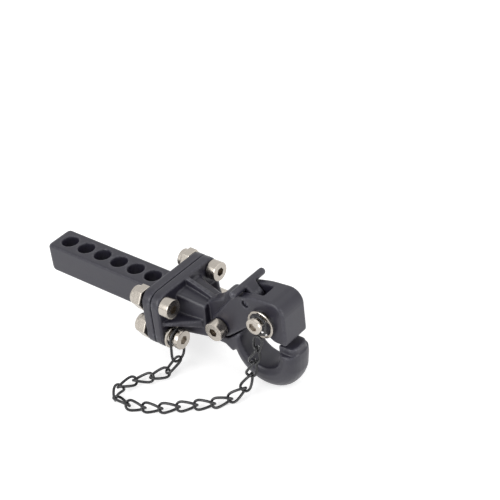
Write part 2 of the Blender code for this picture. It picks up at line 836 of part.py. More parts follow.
def flattened(vector, along):
    return (vector - along * vector.dot(along)).normalized()


def chain_link(name, rear, front, rear_face, front_face, half_width, surface):
    """One twisted link between two end points of its wire's middle line."""
    along = (front - rear).normalized()
    half_length = (front - rear).length / 2
    middle = (rear + front) / 2
    rear_face = flattened(rear_face, along)
    front_face = flattened(front_face, along)
    twist = math.atan2(along.dot(rear_face.cross(front_face)), rear_face.dot(front_face))
    verts = []
    straight = half_length - half_width
    total = 4 * straight + 2 * math.pi * half_width
    for step in range(LINK_STEPS):
        place = total * step / LINK_STEPS
        if place < 2 * straight:
            s, c = place - straight, half_width
        elif place < 2 * straight + math.pi * half_width:
            turn = (place - 2 * straight) / half_width
            s, c = straight + half_width * math.sin(turn), half_width * math.cos(turn)
        elif place < 4 * straight + math.pi * half_width:
            s, c = straight - (place - 2 * straight - math.pi * half_width), -half_width
        else:
            turn = (place - 4 * straight - math.pi * half_width) / half_width
            s, c = -straight - half_width * math.sin(turn), -half_width * math.cos(turn)
        roll = Matrix.Rotation(twist * (s / half_length + 1) / 2, 3, along)
        face = roll @ rear_face
        across = face.cross(along)
        verts.append((middle + along * s + across * c, face))
    rings = []
    for index, (point, face) in enumerate(verts):
        tangent = (verts[(index + 1) % LINK_STEPS][0] - verts[index - 1][0]).normalized()
        up = flattened(face, tangent)
        out = tangent.cross(up)
        for side in range(WIRE_SIDES):
            turn = 2 * math.pi * (side + 0.5) / WIRE_SIDES
            rings.append(point + up * WIRE_RADIUS * math.cos(turn) + out * WIRE_RADIUS * math.sin(turn))
    faces = []
    for step in range(LINK_STEPS):
        low = step * WIRE_SIDES
        high = (step + 1) % LINK_STEPS * WIRE_SIDES
        for side in range(WIRE_SIDES):
            after = (side + 1) % WIRE_SIDES
            faces.append((low + side, low + after, high + after, high + side))
    return finish(mesh_object(name, rings, faces), surface, smooth_angle=80)


def bolt_drop(point):
    """How far the chain's first point hangs below the axis of its bolt."""
    return math.hypot(point.y + BOLT_Y, point.z - BOLT_Z_BOTTOM)


def bend_share(joints, index):
    """How far the two links at a joint still point the same way: 1 when they are in line."""
    if index in (0, len(joints) - 1):
        return 1.0
    before = joints[index] - joints[index - 1]
    after = joints[index + 1] - joints[index]
    return max(math.cos(before.angle(after) / 2) ** 2, 0.6)


def build_chain(surface):
    """The links from the flange bolt to the lock bolt. The last one moves with the jaw, so the two
    wires at its free end lie end to end instead of passing through each other."""
    joints = joints_along(smooth_path(chain_path()), CHAIN_LINKS)
    overlap = WIRE_RADIUS + LINK_GAP / 2
    last = CHAIN_LINKS - 1
    front_face = Vector((1.0, 0.0, 0.0))
    for index in range(CHAIN_LINKS):
        rear, front = joints[index], joints[index + 1]
        along = (front - rear).normalized()
        face = flattened(LINK_FACING, along)
        rear_face = front_face.cross(along)
        if rear_face.dot(face) < 0:
            rear_face.negate()
        front_face = Matrix.Rotation(math.radians(45), 3, along) @ face
        rear_reach = overlap / bend_share(joints, index)
        front_reach = overlap / bend_share(joints, index + 1)
        width = LINK_HALF_WIDTH
        if index == 0:
            width = CHAIN_SHOULDER_RADIUS + WIRE_RADIUS + END_LINK_GAP
            rear_reach = width + bolt_drop(joints[0])
            rear_face = front_face = Vector((1.0, 0.0, 0.0))
        if index == last - 1:
            front_reach = -overlap
            front_face = Vector((0.0, -1.0, 0.0))
        if index == last:
            rear_reach = -overlap
            front_reach = M16_SHANK_RADIUS + WIRE_RADIUS + END_LINK_GAP
            rear_face = front_face = Vector((0.0, -1.0, 0.0))
            width = END_LINK_HALF_WIDTH
        name = f"chain_link_{index + 1:02d}"
        rear_end = rear - along * rear_reach
        front_end = front + along * front_reach
        chain_link(name, rear_end, front_end, rear_face, front_face, width, surface)


def main():
    clear_scene()
    black = material("black_coated_metal", (0.03, 0.03, 0.033), 0.35, 0.48)
    bright = material("nickel_plated_steel", (0.72, 0.70, 0.67), 1.0, 0.22)
    chain = material("black_chain", (0.02, 0.02, 0.022), 0.5, 0.4)
    build_receiver_bar(black)
    build_hook_body(black)
    build_upper_jaw(black)
    build_latch(black)
    build_latch_pin(black)
    build_side_bolts(bright)
    build_flange_bolts(bright)
    build_rings(bright)
    build_chain(chain)


main()
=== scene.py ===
"""Finishes, round chain wire, screw thread, studio and camera for a recovery tow hook.

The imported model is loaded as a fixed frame, and every piece made here rides on one of its bodies.
Lengths are in metres in the frame's axes: X runs along the bar towards the hook and Z is up.
"""

import json
import math

import bpy
from bpy.props import FloatProperty, FloatVectorProperty, IntProperty, PointerProperty
from mathutils import Matrix, Vector


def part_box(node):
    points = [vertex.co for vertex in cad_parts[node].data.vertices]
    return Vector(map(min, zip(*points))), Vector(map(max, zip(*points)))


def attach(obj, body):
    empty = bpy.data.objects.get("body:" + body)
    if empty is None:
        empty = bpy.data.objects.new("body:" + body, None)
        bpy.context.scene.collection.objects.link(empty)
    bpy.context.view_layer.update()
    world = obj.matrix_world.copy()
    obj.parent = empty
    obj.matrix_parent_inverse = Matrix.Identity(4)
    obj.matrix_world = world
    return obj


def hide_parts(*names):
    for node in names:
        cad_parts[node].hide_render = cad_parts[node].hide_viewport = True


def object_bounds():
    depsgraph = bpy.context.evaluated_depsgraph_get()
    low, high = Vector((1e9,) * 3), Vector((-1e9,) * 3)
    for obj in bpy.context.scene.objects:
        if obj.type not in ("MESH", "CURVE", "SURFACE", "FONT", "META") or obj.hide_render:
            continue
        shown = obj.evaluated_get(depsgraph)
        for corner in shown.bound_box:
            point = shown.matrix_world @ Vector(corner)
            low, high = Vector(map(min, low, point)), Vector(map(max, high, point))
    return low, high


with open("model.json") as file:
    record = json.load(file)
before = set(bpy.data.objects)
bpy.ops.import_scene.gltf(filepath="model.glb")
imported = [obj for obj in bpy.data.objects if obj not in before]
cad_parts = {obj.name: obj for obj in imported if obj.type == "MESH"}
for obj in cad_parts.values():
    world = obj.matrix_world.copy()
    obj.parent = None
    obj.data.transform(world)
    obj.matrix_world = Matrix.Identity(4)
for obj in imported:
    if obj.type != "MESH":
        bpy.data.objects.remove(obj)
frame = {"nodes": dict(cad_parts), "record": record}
cad_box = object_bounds()

bl_info = {
    "name": "Recovery tow hook",
    "version": (1, 0, 0),
    "blender": (4, 5, 0),
    "location": "3D View > Sidebar > Tow hook",
    "description": "Finishes, chain wire, thread, studio and camera for a recovery tow hook",
    "category": "Object",
}

MM = 0.001
WHITE = (1.0, 1.0, 1.0, 1.0)
BODIES = frame["record"]["behaviour"]["bodies"]

# The model's nodes, by how they are made
CAST_NODES = ("receiver_bar", "hook_body", "upper_jaw", "latch")
COATED_NODES = (*CAST_NODES, "latch_pin")
NUT_NODES = tuple(f"flange_nut_{number}" for number in range(1, 5))
TURNED_NODES = (
    "pivot_bolt",
    "lock_bolt",
    "lock_ring",
    "flange_ring",
    *(f"flange_bolt_{number}" for number in range(1, 5)),
)

# Meshes
MERGE_DISTANCE = 0.001 * MM
NUT_VOXEL_SHARE = 0.45  # the nuts' mesh size as a share of the castings'
KEPT_FACES = 0.5  # share of the faces that stays after the softening
FLAT_ANGLE = math.radians(0.6)  # faces that meet flatter than this are joined
TURNED_CREASE = math.radians(35)
THREAD_CREASE = math.radians(25)
INSERT_CREASE = math.radians(60)
QUAD_ANGLE = math.radians(60)
LENGTH_PASSES = 20

# The lock bolt's thread and the nylon inserts
LOCK_HEAD_LENGTH = 0.75 * MM
LOCK_THREAD_RADIUS = 0.8 * MM
LOCK_THREAD_PITCH = 0.35 * MM
THREAD_STEPS = 28  # in each turn
LEAST_THREAD_STEPS = 8
INSERT_RADIUS = 1.3 * MM
INSERT_WIRE_RADIUS = 0.17 * MM
INSERT_DEPTH = 0.03 * MM
INSERT_SIDES = 40
INSERT_WIRE_SIDES = 12

# Studio
FLOOR_GAP = 0.02 * MM  # keeps the floor off the model's lowest point
SENSOR_WIDTH = 36.0
NEAREST_SEEN = 0.01
FURTHEST_SEEN = 50.0
# Name, place, width and height of each softbox, and the setting that holds its power
SOFTBOXES = (
    ("key_softbox", (-0.05, -0.55, 0.35), 0.5, 0.4, "key_power"),
    ("top_softbox", (0.15, 0.25, 0.6), 0.6, 0.6, "fill_power"),
    ("front_softbox", (0.6, 0.05, 0.12), 0.3, 0.5, "front_power"),
)


# Settings
class TOWHOOK_PG_coating(bpy.types.PropertyGroup):
    """Satin black coating of the bar, hook, jaw and latch."""

    colour: FloatVectorProperty(
        name="Colour",
        description="Colour of the coating",
        subtype="COLOR",
        size=3,
        min=0,
        max=1,
        default=(0.016, 0.0148, 0.0245),
    )
    # Painted highlight: outer edges get a lighter colour for the light their rounding catches, with
    # slight wear of the coating
    edge_highlight_and_wear_colour: FloatVectorProperty(
        name="Edge colour",
        description="Painted highlight on edges, with slight wear of the coating",
        subtype="COLOR",
        size=3,
        min=0,
        max=1,
        default=(0.1, 0.1, 0.118),
    )
    roughness: FloatProperty(
        name="Roughness", description="Roughness of the coating", min=0, max=1, default=0.4
    )
    grain: FloatProperty(
        name="Grain",
        description="Size of the fine cast grain",
        unit="LENGTH",
        min=0.00002,
        max=0.001,
        default=0.00014,
    )
    grain_height: FloatProperty(
        name="Grain height",
        description="Height of the cast grain",
        unit="LENGTH",
        min=0,
        max=0.0001,
        default=0.000012,
    )
    voxel: FloatProperty(
        name="Casting mesh",
        description="Mesh size of the castings",
        unit="LENGTH",
        min=0.0001,
        max=0.001,
        default=0.00012,
    )
    softening: IntProperty(
        name="Softening",
        description="Smoothing passes that round the castings' fillets",
        min=0,
        max=40,
        default=12,
    )


class TOWHOOK_PG_nickel(bpy.types.PropertyGroup):
    """Nickel plate of the screws, nuts and rings."""

    colour: FloatVectorProperty(
        name="Colour",
        description="Colour of the plate",
        subtype="COLOR",
        size=3,
        min=0,
        max=1,
        default=(0.47, 0.432, 0.385),
    )
    # Painted shade: a darker brown colour deep in sockets and corners stands in for their shade and
    # dark reflections
    recess_shade_colour: FloatVectorProperty(
        name="Recess colour",
        description="Painted shade deep in the sockets and corners",
        subtype="COLOR",
        size=3,
        min=0,
        max=1,
        default=(0.17, 0.14, 0.115),
    )
    roughness: FloatProperty(
        name="Roughness", description="Roughness of the plate", min=0, max=1, default=0.25
    )
    thread_height: FloatProperty(
        name="Thread height",
        description="How far the thread stands out of its shank",
        unit="LENGTH",
        min=0,
        max=0.0002,
        default=0.00005,
    )
    insert_colour: FloatVectorProperty(
        name="Insert colour",
        description="Colour of the nylon insert in each lock nut",
        subtype="COLOR",
        size=3,
        min=0,
        max=1,
        default=(0.72, 0.72, 0.68),
    )


class TOWHOOK_PG_chain(bpy.types.PropertyGroup):
    """Blackened wire of the safety chain."""

    colour: FloatVectorProperty(
        name="Colour",
        description="Colour of the wire",
        subtype="COLOR",
        size=3,
        min=0,
        max=1,
        default=(0.012, 0.012, 0.014),
    )
    roughness: FloatProperty(
        name="Roughness", description="Roughness of the wire", min=0, max=1, default=0.26
    )
    roll: FloatProperty(
        name="Roll",
        description="Turn of each link about its length",
        subtype="ANGLE",
        min=-math.pi,
        max=math.pi,
        default=math.radians(45),
    )
    roll_links: IntProperty(
        name="Roll links",
        description="Links over which the turn builds up from the flange bolt",
        min=1,
        max=10,
        default=3,
    )
    extra: FloatProperty(
        name="Extra",
        description="Thickness given back after smoothing",
        unit="LENGTH",
        min=0,
        max=0.0002,
        default=0.000042,
    )
    smoothing: IntProperty(
        name="Smoothing",
        description="Levels of subdivision of each link",
        min=1,
        max=3,
        default=2,
    )


class TOWHOOK_PG_studio(bpy.types.PropertyGroup):
    """Floor, lamps, surroundings and camera."""

    floor_size: FloatProperty(
        name="Floor",
        description="Side of the square floor",
        unit="LENGTH",
        min=0.2,
        max=20,
        default=6.0,
    )
    floor_colour: FloatVectorProperty(
        name="Floor colour",
        description="Colour of the floor",
        subtype="COLOR",
        size=3,
        min=0,
        max=1,
        default=(0.8, 0.8, 0.8),
    )
    floor_glow: FloatProperty(
        name="Floor glow",
        description="White that the camera sees added to the floor",
        min=0,
        max=1,
        default=0.5,
    )
    ambient: FloatProperty(
        name="Surroundings",
        description="Strength of the even light from all round",
        min=0,
        max=2,
        default=0.55,
    )
    key_power: FloatProperty(
        name="Key",
        description="Power of the softbox on the camera's left",
        subtype="POWER",
        min=0,
        max=100,
        default=2.8,
    )
    fill_power: FloatProperty(
        name="Fill",
        description="Power of the softbox above",
        subtype="POWER",
        min=0,
        max=100,
        default=0.7,
    )
    front_power: FloatProperty(
        name="Front",
        description="Power of the softbox in front of the hook",
        subtype="POWER",
        min=0,
        max=100,
        default=1.6,
    )
    camera_place: FloatVectorProperty(
        name="Camera",
        description="Place of the camera",
        subtype="TRANSLATION",
        size=3,
        default=(0.185486, -0.148448, 0.159355),
    )
    camera_turn: FloatVectorProperty(
        name="Camera turn",
        description="Turn of the camera about X, Y and Z",
        subtype="EULER",
        size=3,
        default=(math.radians(54.6968), math.radians(5.6294), math.radians(38.5623)),
    )
    camera_lens: FloatProperty(
        name="Lens",
        description="Focal length on a 36 mm sensor",
        unit="CAMERA",
        min=1,
        max=500,
        default=105.9,
    )


# Help for making pieces
def deselect_all():
    if bpy.context.object and bpy.context.object.mode != "OBJECT":
        bpy.ops.object.mode_set(mode="OBJECT")
    bpy.ops.object.select_all(action="DESELECT")


def activate(obj):
    deselect_all()
    obj.select_set(True)
    bpy.context.view_layer.objects.active = obj


def edit_all(obj):
    """Opens the piece in edit mode with everything selected."""
    activate(obj)
    bpy.ops.object.mode_set(mode="EDIT")
    bpy.ops.mesh.select_all(action="SELECT")


def end_edit():
    bpy.ops.object.mode_set(mode="OBJECT")


def named_piece(name):
    """The object that an operator has just added, under its own name."""
    obj = bpy.context.object
    obj.name = name
    obj.data.name = name
    return obj


def settle(obj):
    """Puts the object's place, turn and scale into its mesh."""
    activate(obj)
    bpy.ops.object.transform_apply(location=True, rotation=True, scale=True)


def apply_modifiers(obj):
    activate(obj)
    for modifier in list(obj.modifiers):
        bpy.ops.object.modifier_apply(modifier=modifier.name)


def outward(obj, crease):
    """Merges doubles, turns all faces outwards and shades the piece smooth between creases."""
    edit_all(obj)
    bpy.ops.mesh.remove_doubles(threshold=MERGE_DISTANCE)
    bpy.ops.mesh.normals_make_consistent(inside=False)
    end_edit()
    bpy.ops.object.shade_smooth_by_angle(angle=crease)


def copy_of_node(node, name):
    """A piece with its own merged copy of a CAD node's mesh."""
    mesh = frame["nodes"][node].data.copy()
    obj = bpy.data.objects.new(name, mesh)
    bpy.context.scene.collection.objects.link(obj)
    mesh.name = name
    edit_all(obj)
    bpy.ops.mesh.customdata_custom_splitnormals_clear()
    bpy.ops.mesh.remove_doubles(threshold=MERGE_DISTANCE)
    end_edit()
    settle(obj)
    return obj


def soften(obj, voxel, passes):
    """Rounds a piece's edges and corners into small fillets."""
    remesh = obj.modifiers.new("remesh", "REMESH")
    remesh.mode = "VOXEL"
    remesh.voxel_size = voxel
    smooth = obj.modifiers.new("smooth", "SMOOTH")
    smooth.factor = 0.5
    smooth.iterations = passes
    fewer = obj.modifiers.new("fewer", "DECIMATE")
    fewer.ratio = KEPT_FACES
    apply_modifiers(obj)
    bpy.ops.object.shade_smooth()


def smooth_skin(obj, crease):
    """Joins coplanar faces, then shades curved runs smooth and leaves flat faces flat."""
    flat = obj.modifiers.new("flat", "DECIMATE")
    flat.decimate_type = "DISSOLVE"
    flat.angle_limit = FLAT_ANGLE
    apply_modifiers(obj)
    bpy.ops.object.shade_smooth_by_angle(angle=crease)
    weighted = obj.modifiers.new("weighted", "WEIGHTED_NORMAL")
    weighted.keep_sharp = True
    apply_modifiers(obj)


def body_of_node(node):
    return next(body for body, nodes in BODIES.items() if node in nodes)


def finish_piece(obj, surface, body):
    """Gives the piece its material and the body it moves with."""
    obj.data.materials.clear()
    obj.data.materials.append(surface)
    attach(obj, body)


# Nodes of the materials
def mapped(tree, value, old=(0.0, 1.0), new=(0.0, 1.0)):
    """A value brought from an old range to a new one."""
    made = tree.nodes.new("ShaderNodeMapRange")
    made.inputs["From Min"].default_value, made.inputs["From Max"].default_value = old
    made.inputs["To Min"].default_value, made.inputs["To Max"].default_value = new
    tree.links.new(value, made.inputs["Value"])
    return made.outputs["Result"]


def calculated(tree, operation, first, second):
    """A Math node's result from two sockets or numbers."""
    made = tree.nodes.new("ShaderNodeMath")
    made.operation = operation
    for value, socket in zip((first, second), made.inputs):
        if isinstance(value, bpy.types.NodeSocket):
            tree.links.new(value, socket)
        else:
            socket.default_value = value
    return made.outputs[0]


def noise(tree, size, detail, roughness):
    """Noise on object coordinates, with its size from a socket."""
    place = tree.nodes.new("ShaderNodeTexCoord")
    made = tree.nodes.new("ShaderNodeTexNoise")
    made.inputs["Detail"].default_value = detail
    made.inputs["Roughness"].default_value = roughness
    tree.links.new(place.outputs["Object"], made.inputs["Vector"])
    tree.links.new(calculated(tree, "DIVIDE", 1.0, size), made.inputs["Scale"])
    return made.outputs["Fac"]


def mixed_colour(tree, factor, first, second):
    mix = tree.nodes.new("ShaderNodeMix")
    mix.data_type = "RGBA"
    colours = [socket for socket in mix.inputs if socket.type == "RGBA"]
    for socket, colour in zip(colours, (first, second)):
        if isinstance(colour, bpy.types.NodeSocket):
            tree.links.new(colour, socket)
        else:
            socket.default_value = (*colour, 1.0)
    tree.links.new(factor, mix.inputs["Factor"])
    return next(socket for socket in mix.outputs if socket.type == "RGBA")


def bump(tree, height, distance, strength):
    made = tree.nodes.new("ShaderNodeBump")
    made.inputs["Distance"].default_value = distance
    made.inputs["Strength"].default_value = strength
    tree.links.new(height, made.inputs["Height"])
    return made.outputs["Normal"]


# Effects shared by the materials
def new_group(name, inputs, outputs):
    group = bpy.data.node_groups.new(name, "ShaderNodeTree")
    for label, default in inputs:
        socket = group.interface.new_socket(
            name=label, in_out="INPUT", socket_type="NodeSocketFloat"
        )
        socket.default_value = default
    for label in outputs:
        group.interface.new_socket(name=label, in_out="OUTPUT", socket_type="NodeSocketFloat")
    entry = group.nodes.new("NodeGroupInput")
    leave = group.nodes.new("NodeGroupOutput")
    return group, entry, leave


def cast_grain_group():
    """Fine grain and slow mottling of a coated casting."""
    sizes = [("Grain", 0.14 * MM), ("Mottle", 2.0 * MM)]
    group, entry, leave = new_group("cast_grain", sizes, ["Height", "Mottle"])
    fine = noise(group, entry.outputs["Grain"], detail=3.0, roughness=0.6)
    slow = noise(group, entry.outputs["Mottle"], detail=4.0, roughness=0.55)
    group.links.new(fine, leave.inputs["Height"])
    group.links.new(slow, leave.inputs["Mottle"])
    return group


def mask_group(name, inside, hemmed, detail, roughness, **cut):
    """A mask of where a surface is hemmed in, broken up by noise.

    With inside, it reads how thin the metal behind the surface is, which finds outer edges.
    hemmed holds the open shares at which the mask is 0 and 1.
    """
    sizes = [("Reach", 1.0 * MM), ("Breakup", 0.5 * MM)]
    group, entry, leave = new_group(name, sizes, ["Mask"])
    open_share = group.nodes.new("ShaderNodeAmbientOcclusion")
    open_share.inside = inside
    open_share.only_local = True
    open_share.samples = 8
    group.links.new(entry.outputs["Reach"], open_share.inputs["Distance"])
    near = mapped(group, open_share.outputs["AO"], old=hemmed)
    broken = mapped(group, noise(group, entry.outputs["Breakup"], detail, roughness), **cut)
    group.links.new(calculated(group, "MULTIPLY", near, broken), leave.inputs["Mask"])
    return group


def edge_highlight_and_wear_group():
    """A mask that is 1 on outer edges, broken up by noise: it places a painted highlight with
    slight wear.
    """
    return mask_group(
        "edge_wear", inside=True, hemmed=(0.88, 0.55), detail=4.0, roughness=0.6, old=(0.35, 0.65)
    )


def recess_shade_group():
    """A mask that is 1 deep in sockets and corners, broken up by noise: it places painted shade."""
    return mask_group(
        "recess_dirt", inside=False, hemmed=(0.7, 0.1), detail=3.0, roughness=0.5, new=(0.6, 1.0)
    )


GROUPS = {
    "cast_grain": cast_grain_group,
    "edge_wear": edge_highlight_and_wear_group,
    "recess_dirt": recess_shade_group,
}


def placed_group(tree, name, **sizes):
    """A shared effect in a material, with its sizes."""
    made = tree.nodes.new("ShaderNodeGroup")
    made.node_tree = bpy.data.node_groups.get(name) or GROUPS[name]()
    for label, value in sizes.items():
        made.inputs[label].default_value = value
    return made


# Materials
def new_material(name):
    made = bpy.data.materials.get(name) or bpy.data.materials.new(name)
    made.use_nodes = True
    made.node_tree.nodes.clear()
    shader = made.node_tree.nodes.new("ShaderNodeBsdfPrincipled")
    out = made.node_tree.nodes.new("ShaderNodeOutputMaterial")
    made.node_tree.links.new(shader.outputs["BSDF"], out.inputs["Surface"])
    return made, made.node_tree, shader


def mottled(tree, grain, colour, dark, light):
    """A colour that drifts between a darker and a lighter share of itself."""
    shades = [[min(part * share, 1.0) for part in colour] for share in (dark, light)]
    return mixed_colour(tree, grain.outputs["Mottle"], *shades)


def roughen(tree, shader, grain, roughness, spread):
    """Lets the roughness drift with the mottling."""
    rough = mapped(tree, grain.outputs["Mottle"], new=(roughness - spread, roughness + spread))
    tree.links.new(rough, shader.inputs["Roughness"])


def emboss(tree, shader, grain, height, strength):
    """Gives the surface the bump of its fine grain."""
    normal = bump(tree, grain.outputs["Height"], height, strength)
    tree.links.new(normal, shader.inputs["Normal"])


def satin_black_coating(settings):
    made, tree, shader = new_material("satin_black_coating")
    grain = placed_group(tree, "cast_grain", Grain=settings.grain, Mottle=2.2 * MM)
    # Painted highlight: the edge mask lightens outer edges, standing in for light caught on them,
    # with slight wear
    highlight_and_wear = placed_group(tree, "edge_wear", Reach=0.8 * MM, Breakup=0.5 * MM)
    coat = mottled(tree, grain, settings.colour, dark=0.75, light=1.25)
    colour = mixed_colour(tree, highlight_and_wear.outputs["Mask"], coat, settings.edge_highlight_and_wear_colour)
    tree.links.new(colour, shader.inputs["Base Color"])
    roughen(tree, shader, grain, settings.roughness, spread=0.08)
    emboss(tree, shader, grain, settings.grain_height, strength=0.8)
    return made


def nickel_plate(settings):
    made, tree, shader = new_material("nickel_plate")
    grain = placed_group(tree, "cast_grain", Grain=0.09 * MM, Mottle=0.9 * MM)
    # Painted shade: sockets and corners darken towards the recess colour, in place of their shade
    # and dark reflections
    shade_mask = placed_group(tree, "recess_dirt", Reach=1.2 * MM, Breakup=0.4 * MM)
    plate = mottled(tree, grain, settings.colour, dark=0.88, light=1.08)
    colour = mixed_colour(tree, shade_mask.outputs["Mask"], plate, settings.recess_shade_colour)
    tree.links.new(colour, shader.inputs["Base Color"])
    roughen(tree, shader, grain, settings.roughness, spread=0.06)
    emboss(tree, shader, grain, height=0.003 * MM, strength=0.5)
    shader.inputs["Metallic"].default_value = 1.0
    return made


def blackened_wire(settings):
    made, tree, shader = new_material("blackened_wire")
    grain = placed_group(tree, "cast_grain", Grain=0.07 * MM, Mottle=0.8 * MM)
    colour = mottled(tree, grain, settings.colour, dark=0.8, light=1.3)
    tree.links.new(colour, shader.inputs["Base Color"])
    roughen(tree, shader, grain, settings.roughness, spread=0.07)
    emboss(tree, shader, grain, height=0.003 * MM, strength=0.5)
    return made


def nylon_insert(settings):
    made, tree, shader = new_material("nylon_insert")
    grain = placed_group(tree, "cast_grain", Grain=0.1 * MM, Mottle=0.5 * MM)
    colour = mottled(tree, grain, settings.insert_colour, dark=0.92, light=1.0)
    tree.links.new(colour, shader.inputs["Base Color"])
    roughen(tree, shader, grain, roughness=0.475, spread=0.075)
    shader.inputs["Subsurface Weight"].default_value = 0.1
    shader.inputs["Subsurface Radius"].default_value = (0.3 * MM, 0.3 * MM, 0.3 * MM)
    return made


class TOWHOOK_OT_finishes(bpy.types.Operator):
    """Make the finishes and give them to the model's own pieces"""

    bl_idname = "towhook.finishes"
    bl_label = "Finishes"

    def execute(self, context):
        scene = context.scene
        coating = satin_black_coating(scene.towhook_coating)
        nickel = nickel_plate(scene.towhook_nickel)
        blackened_wire(scene.towhook_chain)
        nylon_insert(scene.towhook_nickel)
        for names, surface in ((COATED_NODES, coating), (TURNED_NODES + NUT_NODES, nickel)):
            for name in names:
                for place in frame["nodes"][name].material_slots:
                    place.material = surface
        return {"FINISHED"}


class TOWHOOK_OT_castings(bpy.types.Operator):
    """Stand a piece with soft fillets in place of each casting and each nut"""

    bl_idname = "towhook.castings"
    bl_label = "Castings and nuts"

    def execute(self, context):
        settings = context.scene.towhook_coating
        coating = bpy.data.materials["satin_black_coating"]
        nickel = bpy.data.materials["nickel_plate"]
        for nodes, voxel, surface, slot_name in (
            (CAST_NODES, settings.voxel, coating, "black_coated_metal"),
            (NUT_NODES, settings.voxel * NUT_VOXEL_SHARE, nickel, "nickel_plated_steel"),
        ):
            for node in nodes:
                soft = copy_of_node(node, f"{node}_soft")
                soften(soft, voxel, settings.softening)
                finish_piece(soft, surface, body_of_node(node))
                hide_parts(node)
        return {"FINISHED"}


class TOWHOOK_OT_skins(bpy.types.Operator):
    """Stand a smoothly shaded piece in place of the latch pin, the screws and the rings"""

    bl_idname = "towhook.skins"
    bl_label = "Smooth pieces"

    def execute(self, context):
        coating = bpy.data.materials["satin_black_coating"]
        nickel = bpy.data.materials["nickel_plate"]
        for nodes, surface, slot_name in (
            (("latch_pin",), coating, "black_coated_metal"),
            (TURNED_NODES, nickel, "nickel_plated_steel"),
        ):
            for node in nodes:
                skin = copy_of_node(node, f"{node}_skin")
                smooth_skin(skin, TURNED_CREASE)
                finish_piece(skin, surface, body_of_node(node))
                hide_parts(node)
        return {"FINISHED"}


def roll_about_length(obj, angle, ahead):
    """Turns a long piece about its own length, seen along the way ahead."""
    points = [vertex.co.copy() for vertex in obj.data.vertices]
    middle = sum(points, Vector()) / len(points)
    reaches = [(point - middle).dot(ahead) for point in points]
    end = points[reaches.index(max(reaches))]
    start = points[reaches.index(min(reaches))]
    length = (end - start).normalized()
    # Each pass brings the direction nearer to the one in which the points spread most
    for _ in range(LENGTH_PASSES):
        spread = ((point - middle) * (point - middle).dot(length) for point in points)
        length = sum(spread, Vector()).normalized()
    turn = Matrix.Rotation(angle, 4, length)
    obj.matrix_world = Matrix.Translation(middle) @ turn @ Matrix.Translation(-middle)
    bpy.context.view_layer.update()
    settle(obj)


def round_wire(link, levels, extra):
    """Smooths a faceted link into round wire of the same thickness."""
    edit_all(link)
    bpy.ops.mesh.tris_convert_to_quads(face_threshold=QUAD_ANGLE, shape_threshold=QUAD_ANGLE)
    end_edit()
    smooth = link.modifiers.new("smooth", "SUBSURF")
    smooth.levels = levels
    smooth.render_levels = levels
    apply_modifiers(link)
    edit_all(link)
    bpy.ops.transform.shrink_fatten(value=extra)
    end_edit()
    bpy.ops.object.shade_smooth()


class TOWHOOK_OT_chain_wire(bpy.types.Operator):
    """Stand a round, smooth link in place of each of the model's chain links"""

    bl_idname = "towhook.chain_wire"
    bl_label = "Chain wire"

    def execute(self, context):
        settings = context.scene.towhook_chain
        wire = bpy.data.materials["blackened_wire"]
        nodes = sorted(name for name in frame["nodes"] if name.startswith("chain_link_"))
        middles = [(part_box(node)[0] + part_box(node)[1]) / 2 for node in nodes]
        for index, node in enumerate(nodes):
            link = copy_of_node(node, f"{node}_wire")
            # The first link and the last two hang on the bolts as the model has them
            if 0 < index < len(nodes) - 2:
                ahead = middles[index + 1] - middles[index - 1]
                share = min(index / settings.roll_links, 1.0)
                roll_about_length(link, settings.roll * share, ahead)
            round_wire(link, settings.smoothing, settings.extra)
            finish_piece(link, wire, body_of_node(node))
            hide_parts(node)
        return {"FINISHED"}


def thread_ridge(name, radius, pitch, height, length):
    """A thread's ridge round local Z, from z = 0 to its length, with closed ends."""
    deselect_all()
    half = pitch / 2
    bpy.ops.mesh.primitive_circle_add(
        vertices=3,
        radius=half,
        fill_type="NOTHING",
        location=(radius + height - half, 0.0, half),
        rotation=(math.pi / 2, math.pi / 2, 0.0),
    )
    ridge = named_piece(name)
    settle(ridge)
    turns = (length - pitch) / pitch
    screw = ridge.modifiers.new("thread", "SCREW")
    screw.axis = "Z"
    screw.angle = 2 * math.pi * turns
    screw.screw_offset = pitch * turns
    screw.steps = screw.render_steps = max(LEAST_THREAD_STEPS, round(THREAD_STEPS * turns))
    screw.use_merge_vertices = False
    apply_modifiers(ridge)
    edit_all(ridge)
    bpy.ops.mesh.fill_holes(sides=4)
    end_edit()
    outward(ridge, THREAD_CREASE)
    return ridge


def placed_along(obj, start, way):
    """Turns local Z to a way and moves the local origin to a start point."""
    turn = Vector(way).to_track_quat("Z", "Y").to_matrix().to_4x4()
    obj.matrix_world = Matrix.Translation(start) @ turn
    bpy.context.view_layer.update()
    settle(obj)


class TOWHOOK_OT_threads(bpy.types.Operator):
    """Wind a thread round the length of the lock bolt's shank that shows"""

    bl_idname = "towhook.threads"
    bl_label = "Threads"

    def execute(self, context):
        settings = context.scene.towhook_nickel
        nickel = bpy.data.materials["nickel_plate"]
        low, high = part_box("lock_bolt")
        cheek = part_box("upper_jaw")[0].y
        under_head = low.y + LOCK_HEAD_LENGTH
        ridge = thread_ridge(
            "lock_bolt_thread",
            LOCK_THREAD_RADIUS,
            LOCK_THREAD_PITCH,
            settings.thread_height,
            cheek - under_head,
        )
        centre = (low + high) / 2
        placed_along(ridge, (centre.x, under_head, centre.z), (0.0, 1.0, 0.0))
        finish_piece(ridge, nickel, "jaw")
        return {"FINISHED"}


